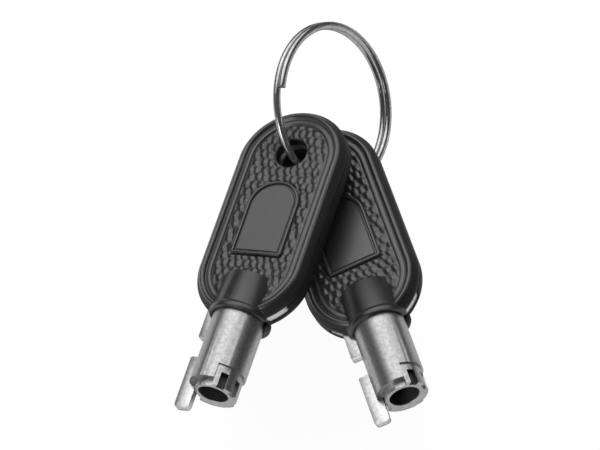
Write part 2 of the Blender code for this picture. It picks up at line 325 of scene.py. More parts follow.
def soften(bm: BMesh, width: float, angle: float = 35.0) -> None:
    """Bevel every sharp edge of a solid.

    Args:
        bm: The shape.
        width: Width of the bevel.
        angle: Edges that turn by more than this many degrees are bevelled.
    """
    limit = math.radians(angle)
    sharp = [e for e in bm.edges if e.is_manifold and e.calc_face_angle(0.0) > limit]
    bmesh.ops.bevel(
        bm,
        geom=sharp,
        offset=width,
        offset_type="OFFSET",
        affect="EDGES",
        segments=2,
        profile=0.5,
        material=-1,
        clamp_overlap=True,
    )


def finish_piece(
    bm: BMesh,
    name: str,
    placed: Matrix,
    body: str,
    node: str,
    materials: list[bpy.types.Material],
) -> None:
    """Place a shape in the world and hand it to the frame.

    Args:
        bm: The shape in its own millimetre frame; freed here.
        name: Name of the new piece.
        placed: Matrix from its own frame to world metres.
        body: CAD body it rides on.
        node: CAD node it stands for.
        materials: Materials, in the order of the faces' material numbers.
    """
    bmesh.ops.triangulate(bm, faces=[f for f in bm.faces if len(f.verts) > QUAD_SIDES])
    mesh = mesh_of(bm, name)
    layer = mesh.attributes.new(LOCAL, "FLOAT_VECTOR", "POINT")
    layer.data.foreach_set("vector", [c for v in mesh.vertices for c in v.co])
    mesh.transform(placed)
    mesh.polygons.foreach_set("use_smooth", [True] * len(mesh.polygons))
    mesh.set_sharp_from_angle(angle=SMOOTH_ANGLE)
    for material in materials:
        mesh.materials.append(material)
    item = add_object(name, mesh)
    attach(item, body)
    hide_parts(node)
    LOG.info("%s: %d faces", name, len(mesh.polygons))


# ---------------------------------------------------------------- finishes


def grey_colour(level: float) -> tuple[float, float, float, float]:
    """Give a grey level as a colour."""
    return (level, level, level, 1.0)


class Nodes:
    """Small helper that adds and wires shader nodes of one material or surround."""

    def __init__(self, owner: bpy.types.Material | bpy.types.World, shader: str) -> None:
        """Turn on the nodes of a material or surround.

        Args:
            owner: The material or surround.
            shader: Name of the shader node that it starts with.
        """
        self.owner = owner
        owner.use_nodes = True
        self.tree = owner.node_tree
        self.shader = self.tree.nodes[shader]

    def feed(self, target: Socket, value: Socket | float | tuple[float, ...]) -> None:
        """Wire an output to an input, or set the input's own value.

        Args:
            target: The input.
            value: The output or the value.
        """
        if isinstance(value, Socket):
            self.tree.links.new(value, target)
        else:
            target.default_value = value

    def add(self, kind: str, **settings: object) -> bpy.types.Node:
        """Add a node, set its properties and feed its inputs.

        Args:
            kind: Node type.
            settings: Property names, or input names with spaces written as underscores.

        Returns:
            The node.
        """
        node = self.tree.nodes.new(kind)
        for key, value in settings.items():
            if hasattr(node, key):
                setattr(node, key, value)
            else:
                self.feed(node.inputs[key.replace("_", " ")], value)
        return node

    def calculate(self, operation: str, *values: Socket | float) -> Socket:
        """Work a sum on one or two values.

        Args:
            operation: Kind of sum.
            values: What it works on.

        Returns:
            The result.
        """
        node = self.add("ShaderNodeMath", operation=operation)
        for target, value in zip(node.inputs, values):
            self.feed(target, value)
        return node.outputs[0]

    def local(self, scale: Point = (1.0, 1.0, 1.0)) -> Socket:
        """Give the piece's own coordinates in millimetres, times a scale."""
        source = self.add("ShaderNodeAttribute", attribute_name=LOCAL).outputs["Vector"]
        return self.add("ShaderNodeMapping", Vector=source, Scale=scale).outputs["Vector"]

    def height(self) -> Socket:
        """Give the distance from the key's middle plane, in millimetres."""
        parts = self.add("ShaderNodeSeparateXYZ", Vector=self.local())
        return self.calculate("ABSOLUTE", parts.outputs["Z"])

    def noise(
        self, vector: Socket, octaves: float, scale: float = 1.0, fineness: float = 0.5
    ) -> Socket:
        """Give a noise pattern.

        Args:
            vector: Coordinates to read.
            octaves: Number of octaves.
            scale: Grains per unit.
            fineness: Weight of the finer octaves.

        Returns:
            The noise value.
        """
        node = self.add(
            "ShaderNodeTexNoise", Vector=vector, Scale=scale, Detail=octaves, Roughness=fineness
        )
        return node.outputs["Fac"]

    def shades(self, value: Socket, grey: float, dark: Flat, light: Flat) -> Socket:
        """Turn a pattern into shades of one grey.

        Args:
            value: The pattern, from 0 to 1.
            grey: Level of the grey.
            dark: Pattern value up to which it is darkest, and what share of the grey it has there.
            light: Pattern value from which it is lightest, and the share there.

        Returns:
            The shade as a colour.
        """
        node = self.add("ShaderNodeValToRGB", Fac=value)
        for element, (position, share) in zip(node.color_ramp.elements, (dark, light)):
            element.position = position
            element.color = grey_colour(grey * share)
        return node.outputs["Color"]

    def span(
        self,
        value: Socket,
        low: float,
        high: float,
        start: float = 0.0,
        stop: float = 1.0,
        interpolation_type: str = "LINEAR",
    ) -> Socket:
        """Map a value, and hold the result between its two ends.

        Args:
            value: Value to map.
            low: Result at start.
            high: Result at stop.
            start: Value that gives low.
            stop: Value that gives high.
            interpolation_type: How the result runs from low to high.

        Returns:
            The mapped value.
        """
        ends = {"From_Min": start, "From_Max": stop, "To_Min": low, "To_Max": high}
        node = self.add("ShaderNodeMapRange", interpolation_type=interpolation_type, **ends)
        self.feed(node.inputs["Value"], value)
        return node.outputs["Result"]

    def bump(
        self, height: Socket, strength: float, depth: float, before: Socket | None = None
    ) -> Socket:
        """Add a bump.

        Args:
            height: Height value.
            strength: Strength from 0 to 1.
            depth: Depth in metres.
            before: Normal of an earlier bump, if any.

        Returns:
            The bumped normal.
        """
        node = self.add("ShaderNodeBump", Height=height, Strength=strength, Distance=depth)
        if before is not None:
            self.feed(node.inputs["Normal"], before)
        return node.outputs["Normal"]

    def seen_directly(self) -> Socket:
        """Tell the rays that show a surface from those that it lights.

        Returns:
            1 where a camera, glossy or transmission ray arrives, else 0.
        """
        path = self.add("ShaderNodeLightPath")
        total = path.outputs["Is Camera Ray"]
        for label in ("Is Glossy Ray", "Is Transmission Ray"):
            total = self.calculate("MAXIMUM", total, path.outputs[label])
        return total

    def surface(self, **inputs: Socket | float | tuple[float, ...]) -> bpy.types.Material:
        """Feed the material's shader.

        Args:
            inputs: What feeds each input, by its name with spaces written as underscores.

        Returns:
            The material.
        """
        for key, value in inputs.items():
            self.feed(self.shader.inputs[key.replace("_", " ")], value)
        return self.owner


def new_material(name: str) -> Nodes:
    """Start a material, and give the helper for its nodes."""
    return Nodes(bpy.data.materials.new(name), "Principled BSDF")


@dataclass(frozen=True)
class MouldedPlastic:
    """Dark satin plastic, duller in the hollows and polished by handling where it is proud.

    The added roughness falls from `matt` to nothing between the heights `low` and `proud`.
    """

    name: str
    gloss: float = 0.80
    refraction: float = 1.55
    grey: float = 0.016
    dark: Flat = (0.30, 0.80)
    light: Flat = (0.72, 1.25)
    roughness: float = 0.34
    smoother: float = 0.06
    rougher: float = 0.08
    matt: float = 0.16
    low: float = 1.45
    proud: float = 2.02
    grain_per_mm: float = 3.4
    grain_octaves: float = 3.0
    grain_fineness: float = 0.6
    grain_strength: float = 0.35
    grain_depth: float = 0.00005
    flow_scale: Point = (0.35, 0.12, 0.35)
    flow_octaves: float = 2.0

    def build(self) -> bpy.types.Material:
        """Make the material from a fine grain and slow flow streaks along the head.

        Returns:
            The material.
        """
        nodes = new_material(self.name)
        grain = nodes.noise(
            nodes.local(), self.grain_octaves, self.grain_per_mm, self.grain_fineness
        )
        flow = nodes.noise(nodes.local(self.flow_scale), self.flow_octaves)
        wear = nodes.span(nodes.height(), self.matt, 0.0, self.low, self.proud)
        spread = nodes.span(grain, self.roughness - self.smoother, self.roughness + self.rougher)
        return nodes.surface(
            Base_Color=nodes.shades(flow, self.grey, self.dark, self.light),
            Roughness=nodes.calculate("ADD", wear, spread),
            Normal=nodes.bump(grain, self.grain_strength, self.grain_depth),
            IOR=self.refraction,
            Specular_IOR_Level=self.gloss,
        )


@dataclass(frozen=True)
class NickelPlate:
    """Bright nickel with a mottled, slightly pitted plating and fine drawn lines."""

    name: str
    grey: float = 0.39
    dark: Flat = (0.30, 0.80)
    light: Flat = (0.68, 1.06)
    edge_grey: float = 0.80
    metallic: float = 0.86
    roughness: float = 0.30
    rougher: float = 0.06
    smoother: float = 0.05
    octaves: float = 2.0
    mottle_per_mm: float = 2.2
    pit_strength: float = 0.45
    pit_depth: float = 0.00004
    line_scale: Point = (6.0, 0.25, 6.0)
    line_strength: float = 0.12

    def build(self) -> bpy.types.Material:
        """Make the material; its light places are smoother and its dark ones rougher.

        Returns:
            The material.
        """
        nodes = new_material(self.name)
        mottle = nodes.noise(nodes.local(), self.octaves, self.mottle_per_mm)
        lines = nodes.noise(nodes.local(self.line_scale), self.octaves)
        pits = nodes.bump(mottle, self.pit_strength, self.pit_depth)
        return nodes.surface(
            Base_Color=nodes.shades(mottle, self.grey, self.dark, self.light),
            Roughness=nodes.span(
                mottle, self.roughness + self.rougher, self.roughness - self.smoother
            ),
            Normal=nodes.bump(lines, self.line_strength, self.pit_depth, pits),
            Metallic=self.metallic,
            Specular_Tint=grey_colour(self.edge_grey),
        )


@dataclass(frozen=True)
class PaintedShadeBore:
    """Dark metal in the barrel's bore and first slot: painted shade of these deep recesses,
    mottled in patches.
    """

    name: str
    grey: float = 0.035
    dark: Flat = (0.3, 0.7)
    light: Flat = (0.7, 1.4)
    metallic: float = 0.4
    roughness: float = 0.55
    patch_per_mm: float = 2.4
    patch_octaves: float = 3.0
    ring_scale: Point = (0.3, 7.0, 0.3)
    ring_octaves: float = 1.0
    ring_strength: float = 0.3
    ring_depth: float = 0.00003

    def build(self) -> bpy.types.Material:
        """Make the material from mottled patches of the painted shade and the drill's rings.

        Returns:
            The material.
        """
        nodes = new_material(self.name)
        patches = nodes.noise(nodes.local(), self.patch_octaves, self.patch_per_mm)
        rings = nodes.noise(nodes.local(self.ring_scale), self.ring_octaves)
        return nodes.surface(
            Base_Color=nodes.shades(patches, self.grey, self.dark, self.light),
            Roughness=self.roughness,
            Normal=nodes.bump(rings, self.ring_strength, self.ring_depth),
            Metallic=self.metallic,
        )


# ---------------------------------------------------------------- sub-assemblies


@dataclass(frozen=True)
class HeadOutline:
    """Slot outline of a key head: straight sides and two round ends."""

    half_width: float = 8.6
    top: float = 7.97
    bottom: float = -27.94
    end_steps: int = 120
    side_steps: int = 124

    def spine(self, y: float) -> float:
        """Give the nearest height on the line between the two ends' centres."""
        return min(self.top - self.half_width, max(self.bottom + self.half_width, y))

    def inset_of(self, x: float, y: float) -> float:
        """Give how far a point lies inside the outline."""
        return self.half_width - math.hypot(x, y - self.spine(y))

    def place(self, vert: BMVert, inset: float, height: float) -> None:
        """Move a vertex straight in or out.

        Args:
            vert: The vertex.
            inset: Its new distance in from the outline.
            height: Its new level.
        """
        middle = self.spine(vert.co.y)
        out = Vector((vert.co.x, vert.co.y - middle))
        if out.length > NO_LENGTH:
            out.normalize()
        out *= self.half_width - inset
        vert.co = (out.x, middle + out.y, height)

    def start_loop(self, bm: BMesh, inset: float, height: float) -> list[BMEdge]:
        """Make the first loop of edges.

        Args:
            bm: Shape that takes the loop.
            inset: Distance in from the outline.
            height: Level of the loop.

        Returns:
            The loop's edges.
        """
        made = bmesh.ops.create_circle(
            bm, segments=2 * self.end_steps, radius=self.half_width, cap_ends=False
        )
        for vert in made["verts"]:
            upper = vert.co.y > -NO_LENGTH
            vert.co.y += self.top - self.half_width if upper else self.bottom + self.half_width
        sides = [e for e in bm.edges if e.calc_length() > self.half_width]
        bmesh.ops.subdivide_edges(bm, edges=sides, cuts=self.side_steps)
        for vert in bm.verts:
            self.place(vert, inset, height)
        return bm.edges[:]

    def grow(self, bm: BMesh, loop: list[BMEdge], inset: float, height: float) -> list[BMEdge]:
        """Extrude a loop to a new inset and height.

        Args:
            bm: The shape.
            loop: Edges of the last loop.
            inset: Distance in from the outline of the new loop.
            height: Level of the new loop.

        Returns:
            The new loop's edges.
        """
        made = bmesh.ops.extrude_edge_only(bm, edges=loop)["geom"]
        for vert in (g for g in made if isinstance(g, BMVert)):
            self.place(vert, inset, height)
        return [g for g in made if isinstance(g, BMEdge)]


@dataclass(frozen=True)
class ScaleTexture:
    """Moulded field of small staggered scales that rise to a steep lower right side.

    A scale's half size is a share of the pitch across and along it, its slant is given by a
    cosine and a sine, and the shares `least` and `spread` vary its height.
    """

    pitch_x: float = 1.14
    pitch_y: float = 1.34
    stagger: float = 0.5
    half_across: float = 0.47
    half_along: float = 0.70
    slant_cosine: float = 0.94
    slant_sine: float = 0.34
    height: float = 0.22
    least: float = 0.80
    spread: float = 0.40
    jitter: float = 0.34
    lean: float = 0.55
    dome_power: float = 0.9
    column_seed: float = 12.9898
    row_seed: float = 78.233
    seed_stretch: float = 43758.5453
    second_stretch: float = 57.31

    def chances(self, column: int, row: int) -> Flat:
        """Draw two numbers for a scale, the same each run.

        Args:
            column: The scale's column.
            row: The scale's row.

        Returns:
            Two numbers from 0 to 1.
        """
        seed = math.sin(column * self.column_seed + row * self.row_seed) * self.seed_stretch
        one = seed - math.floor(seed)
        return one, (one * self.second_stretch) % 1.0

    def relief(self, x: float, y: float) -> float:
        """Work out the highest of the scales that reach a point.

        Args:
            x: The point's place across the head.
            y: Its place along the head.

        Returns:
            The height over the panel.
        """
        best = 0.0
        row = math.floor(y / self.pitch_y)
        for j in (row - 1, row, row + 1, row + 2):
            shift = self.stagger * (j % 2)
            column = math.floor(x / self.pitch_x - shift)
            for i in (column, column + 1):
                one, two = self.chances(i, j)
                dx = x / self.pitch_x - (i + shift + self.jitter * (one - 0.5))
                dy = y / self.pitch_y - (j + self.jitter * (two - 0.5))
                across = dx * self.slant_cosine + dy * self.slant_sine
                along = dy * self.slant_cosine - dx * self.slant_sine
                away = math.hypot(across / self.half_across, along / self.half_along)
                if away >= 1.0:
                    continue
                dome = (1.0 - away * away) ** self.dome_power
                tilt = 1.0 + self.lean * (across - along)
                best = max(best, dome * tilt * (self.least + self.spread * one))
        return self.height * best


@dataclass(frozen=True)
class Plaque:
    """Plain arched tablet with a raised bead round it.

    The profile runs inwards from its edge as pairs of (inset, height).
    """

    half_width: float = 4.1
    bottom: float = -17.3
    top: float = -4.6
    corner: float = 0.45
    least_corner: float = 0.06
    arch_steps: int = 48
    corner_steps: int = 6
    profile: tuple[Flat, ...] = (
        (0.0, 1.20), (0.0, 2.04), (0.03, 2.14), (0.10, 2.22), (0.20, 2.26), (0.32, 2.26),
        (0.42, 2.22), (0.48, 2.12), (0.52, 1.90), (0.70, 1.90), (0.74, 2.00), (0.81, 2.06),
    )

    def outline(self, inset: float) -> list[Flat]:
        """List the points of the tablet's outline.

        Args:
            inset: How far the outline is moved in.

        Returns:
            The points, from the arch's right end round to the foot's right corner.
        """
        half = self.half_width - inset
        foot = self.bottom + inset
        corner = max(self.least_corner, self.corner - inset)
        points = arc((0.0, self.top - self.half_width), half, 0.0, 180.0, self.arch_steps)
        for x, start in ((-half + corner, 180.0), (half - corner, 270.0)):
            points += arc(
                (x, foot + corner), corner, start, start + QUARTER_TURN, self.corner_steps
            )
        return points

    def depth_inside(self, x: float, y: float) -> float:
        """Measure how far a point lies inside the outline.

        Args:
            x: The point's place across the head.
            y: Its place along the head.

        Returns:
            The distance; outside it is negative.
        """
        shoulder = self.top - self.half_width
        if y > shoulder:
            return self.half_width - math.hypot(x, y - shoulder)
        return min(self.half_width - abs(x), y - self.bottom)

    def build(self) -> BMesh:
        """Make the tablet from its outline at each inset and height.

        Returns:
            The closed solid.
        """
        bm = bmesh.new()
        rings = []
        for inset, height in self.profile:
            rings.append([bm.verts.new((x, y, height)) for x, y in self.outline(inset)])
        for low, high in zip(rings, rings[1:]):
            for i in range(len(low)):
                bm.faces.new((low[i - 1], low[i], high[i], high[i - 1]))
        bm.faces.new(rings[0])
        bm.faces.new(rings[-1])
        bmesh.ops.recalc_face_normals(bm, faces=bm.faces[:])
        return bm


@dataclass(frozen=True)
class Cover:
    """Half of a key head: rim bead, ledge, scaled panel, and half of the barrel's collar.

    The rim's points are (inset, height); those of the joint's edge rise from the joint.  The
    collar's four roundings are steps of (out, along) from a corner of its profile.
    """

    joint: float
    collar_end: float
    lip_radius: float
    plaque: Plaque | None = None
    outline: HeadOutline = HeadOutline()
    texture: ScaleTexture = ScaleTexture()
    joint_edge: tuple[Flat, ...] = ((0.10, 0.0), (0.03, 0.03), (0.0, 0.10))
    rim: tuple[Flat, ...] = (
        (0.0, 1.02), (0.05, 1.20), (0.20, 1.50), (0.35, 1.74), (0.50, 1.95), (0.66, 2.14),
        (0.82, 2.29), (0.96, 2.40), (1.10, 2.45), (1.25, 2.43), (1.40, 2.35), (1.52, 2.20),
        (1.60, 2.06), (1.67, 1.98), (1.75, 1.97), (1.83, 2.03), (1.92, 2.07), (2.34, 2.07),
        (2.43, 2.04), (2.52, 1.90),
    )
    panel_height: float = 1.80
    panel_inset: float = 2.62
    panel_step: float = 0.15
    scales_fade: float = 0.35
    plaque_fade: Flat = (-0.02, -0.25)
    collar_start: float = -20.9
    collar_narrow: float = 4.05
    collar_wide: float = 4.35
    lip_length: float = 0.95
    lip_front: tuple[Flat, ...] = ((-0.22, 0.0), (-0.06, 0.08), (0.0, 0.25))
    lip_back: tuple[Flat, ...] = ((0.0, -0.22), (-0.07, -0.07))
    taper_foot: tuple[Flat, ...] = ((0.03, 0.06), (-0.03, 0.25))
    taper_head: tuple[Flat, ...] = ((0.0, -0.25), (-0.08, -0.08), (-0.28, 0.0))
    collar_steps: int = 96
    collar_margin: float = 0.03
    collar_zone: Zone = Zone.COLLAR
    waste_reach: float = 9.0
    waste_end: float = -40.0
    hole_y: float = 0.45
    hole_radius: float = 2.4
    hole_flare: float = 0.3
    hole_proud: float = 0.12
    hole_steps: int = 72
    flare_steps: int = 5
    drill_reach: float = 4.0
    channel_end: float = -33.0
    channel_mouth: float = 3.93
    channel_neck: float = 3.6
    neck_step: float = -26.2
    neck_end: float = -21.3
    wall_height: float = 1.35
    wall_inset: float = 0.60

    def blank(self) -> BMesh:
        """Make the head half with its rim and scaled panel, facing +Z.

        Returns:
            The closed shape.
        """
        bm = bmesh.new()
        first, *others = [(inset, self.joint + rise) for inset, rise in self.joint_edge]
        loop = self.outline.start_loop(bm, *first)
        for inset, height in (*others, *self.rim):
            loop = self.outline.grow(bm, loop, inset, height)
        inset = self.panel_inset
        while inset < self.outline.half_width - self.panel_step:
            loop = self.outline.grow(bm, loop, inset, self.panel_height)
            inset += self.panel_step
        self.outline.grow(bm, loop, self.outline.half_width, self.panel_height)
        bmesh.ops.remove_doubles(bm, verts=bm.verts[:], dist=SAME_PLACE)
        close_gaps(bm)
        self.raise_scales(bm)
        return bm

    def raise_scales(self, bm: BMesh) -> None:
        """Lift the panel's vertices by the scale texture, but for those under the plaque.

        Args:
            bm: The head half.
        """
        for vert in bm.verts:
            if abs(vert.co.z - self.panel_height) > SAME_PLACE:
                continue
            inset = self.outline.inset_of(vert.co.x, vert.co.y)
            fade = smoothstep(self.panel_inset, self.panel_inset + self.scales_fade, inset)
            if self.plaque is not None:
                depth = self.plaque.depth_inside(vert.co.x, vert.co.y)
                fade *= smoothstep(*self.plaque_fade, depth)
            vert.co.z += fade * self.texture.relief(vert.co.x, vert.co.y)

    def collar(self) -> BMesh:
        """Make the tapered collar with its lip, all the way round.

        Returns:
            The solid of revolution.
        """
        top = self.collar_end + self.lip_length
        corners = (
            (self.lip_radius, self.collar_end, self.lip_front),
            (self.lip_radius, top, self.lip_back),
            (self.collar_wide, top, self.taper_foot),
            (self.collar_narrow, self.collar_start, self.taper_head),
        )
        profile = [(0.0, self.collar_end)]
        for radius, level, steps in corners:
            profile += [(radius + out, level + along) for out, along in steps]
        profile.append((0.0, self.collar_start))
        return lathe(profile, self.collar_steps)

    def channel(self) -> BMesh:
        """Make the space for the barrel inside the collar.

        Returns:
            The tool.
        """
        profile = [
            (0.0, self.channel_end),
            (self.channel_mouth, self.channel_end),
            (self.channel_mouth, self.neck_step),
            (self.channel_neck, self.neck_step),
            (self.channel_neck, self.neck_end),
            (0.0, self.neck_end),
        ]
        return lathe(profile, self.collar_steps)

    def hole_tool(self) -> BMesh:
        """Make the drill for the ring hole along Z, flared over the panel.

        Returns:
            The tool.
        """
        radius = self.hole_radius
        flare = self.hole_flare
        low = self.panel_height + self.hole_proud - flare
        profile = [(0.0, -self.drill_reach), (radius, -self.drill_reach), (radius, low)]
        for i in range(1, self.flare_steps + 1):
            angle = math.radians(QUARTER_TURN * i / self.flare_steps)
            profile.append(
                (radius + flare * (1.0 - math.cos(angle)), low + flare * math.sin(angle))
            )
        profile += [(radius + flare, self.drill_reach), (0.0, self.drill_reach)]
        bm = lathe(profile, self.hole_steps)
        turn_about(bm, QUARTER_TURN, "X")
        bmesh.ops.translate(bm, verts=bm.verts[:], vec=(0.0, self.hole_y, 0.0))
        return bm

    def zone_of(self, centre: Vector) -> Zone:
        """Tell which zone of the cover a face lies in.

        Args:
            centre: Centre of the face.

        Returns:
            The zone.
        """
        reach = math.hypot(centre.x, centre.z)
        if centre.y < self.collar_start and reach < self.lip_radius + self.collar_margin:
            return self.collar_zone
        inset = self.outline.inset_of(centre.x, centre.y)
        if abs(centre.z) < self.wall_height or inset < self.wall_inset:
            return Zone.WALL
        return Zone.FACE

    def build(self) -> BMesh:
        """Make the head half with its collar, channel, ring hole and plaque.

        The collar's side beyond the joint is cut away first.  Where a joined edge is left open,
        it is closed, and each face gets the material number of its zone.

        Returns:
            The shape, facing +Z.
        """
        side = self.waste_reach
        waste = block((-side, self.waste_end, -side), (side, 0.0, self.joint))
        collar = combine(self.collar(), waste, Operation.CUT)
        bm = combine(self.blank(), collar, Operation.JOIN)
        bm = combine(bm, self.channel(), Operation.CUT)
        bm = combine(bm, self.hole_tool(), Operation.CUT)
        if self.plaque is not None:
            bm = combine(bm, self.plaque.build(), Operation.JOIN)
        close_gaps(bm)
        for face in bm.faces:
            face.material_index = self.zone_of(face.calc_center_median()).value
        return bm


@dataclass(frozen=True)
class FrontCover(Cover):
    """Front half of the head, with the plaque."""

    joint: float = 0.48
    collar_end: float = -27.3
    lip_radius: float = 4.55
    plaque: Plaque | None = Plaque()


@dataclass(frozen=True)
class RearCover(Cover):
    """Rear half of the head, with the pocket for the plate."""

    joint: float = -0.36
    collar_end: float = -27.6
    lip_radius: float = 4.75
    texture: ScaleTexture = ScaleTexture(height=0.10)
    # The rear collar takes the wall plastic, so it shows the same painted shade.
    collar_zone: Zone = Zone.WALL
    pocket_half_width: float = 6.95
    pocket_start: float = -2.0
    pocket_floor: float = 0.86
    pocket_overrun: float = 3.0
    pocket_steps: int = 48

    def pocket(self) -> BMesh:
        """Make the tool for the plate's pocket, open at the bottom of the head.

        Returns:
            The tool.
        """
        half = self.pocket_half_width
        mouth = self.outline.bottom - self.pocket_overrun
        centre = (0.0, self.outline.top - self.outline.half_width)
        points = arc(centre, half, 0.0, 180.0, self.pocket_steps)
        points += [(-half, mouth), (half, mouth)]
        return prism(points, self.pocket_start, self.pocket_floor)

    def build(self) -> BMesh:
        """Make the half facing +Z with its pocket, then turn it round to face -Z.

        Returns:
            The shape in the key's frame.
        """
        bm = combine(super().build(), self.pocket(), Operation.CUT)
        bmesh.ops.scale(bm, verts=bm.verts[:], vec=(1.0, 1.0, -1.0))
        bmesh.ops.reverse_faces(bm, faces=bm.faces[:])
        return bm


@dataclass(frozen=True)
class Barrel:
    """Tubular barrel with its coded end.

    Angles run from the front towards the right.  The shallow and the deep cut are given by
    their first angle, last angle and length.  Painted shade darkens the bore and the first slot,
    but for a lit edge at the open end.
    """

    radius: float = 3.81
    end: float = -39.36
    shoulder: float = -26.5
    neck_radius: float = 3.3
    neck_end: float = -21.6
    bore_radius: float = 2.2
    bore_floor: float = -27.2
    lead: float = 0.10
    ease: float = 0.04
    bore_ease: float = 0.03
    steps: int = 144
    rim_radius: float = 2.85
    shallow: Point = (-125.0, 21.0, 1.0)
    deep: Point = (20.0, 150.0, 3.3)
    deep_radius: float = 3.5
    sector_steps: int = 40
    slot_angles: Flat = (42.0, 84.0)
    slot_width: float = 1.15
    slot_length: float = 2.2
    slot_radius: float = 2.78
    fin_floor: float = -2.7
    plate_low: float = -0.85
    plate_high: float = 0.45
    edge: float = 0.05
    tool_overrun: float = 1.0
    tool_outside: float = 2.0
    tool_reach: float = 6.0
    bore_lit_edge: float = 0.35
    slot_lit_edge: float = 0.06
    slot_lip: float = 0.08
    slot_margin: float = 0.02
    margin: float = 0.01

    def tube(self) -> BMesh:
        """Make the turned barrel with its bore and eased end.

        Returns:
            The solid, with its neck.
        """
        profile = [
            (0.0, self.bore_floor),
            (self.bore_radius, self.bore_floor),
            (self.bore_radius, self.end + self.lead),
            (self.bore_radius + self.ease, self.end + self.bore_ease),
            (self.bore_radius + self.lead, self.end),
            (self.radius - self.lead - self.ease, self.end),
            (self.radius - self.ease, self.end + self.ease),
            (self.radius, self.end + self.lead + self.ease),
            (self.radius, self.shoulder),
            (self.neck_radius, self.shoulder),
            (self.neck_radius, self.neck_end),
            (0.0, self.neck_end),
        ]
        return lathe(profile, self.steps)

    def sector(self, start: float, stop: float, depth: float, inner: float) -> BMesh:
        """Make a wedge of the wall outside a radius, in from the open end.

        Args:
            start: First angle, from the front towards the right.
            stop: Last angle.
            depth: Length of the cut.
            inner: Radius that stays.

        Returns:
            The tool.
        """
        first, last = QUARTER_TURN - start, QUARTER_TURN - stop
        outer = self.radius + self.tool_outside
        outline = arc((0.0, 0.0), inner, first, last, self.sector_steps)
        outline += arc((0.0, 0.0), outer, last, first, self.sector_steps)
        return prism(outline, self.end - self.tool_overrun, self.end + depth, along_y=True)

    def pin_slot(self, degrees: float) -> BMesh:
        """Make the tool for one straight slot in the barrel's end.

        Args:
            degrees: Where the slot is, from the front towards the right.

        Returns:
            The tool.
        """
        half = self.slot_width / 2.0
        bm = block(
            (-half, self.end - self.tool_overrun, self.slot_radius),
            (half, self.end + self.slot_length, self.tool_reach),
        )
        turn_about(bm, degrees, "Y")
        return bm

    def build(self) -> BMesh:
        """Turn the tube, then cut the sectors, the slots and the plate's groove.

        Returns:
            The shape; faces of the bore and the first slot have material number 1, the painted
            shade.
        """
        bm = combine(self.tube(), self.sector(*self.shallow, self.rim_radius), Operation.CUT)
        bm = combine(bm, self.sector(*self.deep, self.deep_radius), Operation.CUT)
        for degrees in self.slot_angles:
            bm = combine(bm, self.pin_slot(degrees), Operation.CUT)
        groove = block(
            (-self.tool_reach, self.end - self.tool_overrun, self.plate_low),
            (self.fin_floor, self.neck_end + self.tool_overrun, self.plate_high),
        )
        bm = in_order(combine(bm, groove, Operation.CUT))
        bmesh.ops.remove_doubles(bm, verts=bm.verts[:], dist=SAME_PLACE)
        soften(bm, self.edge)
        for face in bm.faces:
            # Material 1 is the painted shade of the bore and the first slot.
            face.material_index = int(self.in_painted_shade(face.calc_center_median()))
        return bm

    def in_painted_shade(self, centre: Vector) -> bool:
        """Tell whether a face lies in the bore or in the first slot.

        Args:
            centre: Centre of the face.

        Returns:
            True where it gets the painted shade.
        """
        if math.hypot(centre.x, centre.z) < self.bore_radius + self.margin:
            return centre.y > self.end + self.bore_lit_edge
        last = self.end + self.slot_length + self.margin
        if not self.end + self.slot_lit_edge < centre.y < last:
            return False
        spot = Matrix.Rotation(math.radians(-self.slot_angles[0]), 3, "Y") @ centre
        within = abs(spot.x) < self.slot_width / 2.0 + self.slot_margin
        return within and 0.0 < spot.z < self.deep_radius - self.slot_lip


@dataclass(frozen=True)
class CorePlate:
    """Stamped core plate, with slightly rolled edges."""

    weld: float = 1e-3
    flat_angle: float = 1.0
    roll: float = 0.11
    roll_angle: float = 60.0

    def build(self, side: Side) -> BMesh:
        """Take the CAD node's shape into the key's frame and roll its edges.

        Args:
            side: Which key.

        Returns:
            The shape in the key's frame.
        """
        bm = bmesh.new()
        bm.from_mesh(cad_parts[side.value + "_core_plate"].data)
        bmesh.ops.transform(bm, verts=bm.verts[:], matrix=POSES[side].matrix().inverted())
        bmesh.ops.remove_doubles(bm, verts=bm.verts[:], dist=self.weld)
        limit = math.radians(self.flat_angle)
        bmesh.ops.dissolve_limit(bm, angle_limit=limit, verts=bm.verts[:], edges=bm.edges[:])
        soften(bm, self.roll, self.roll_angle)
        return bm


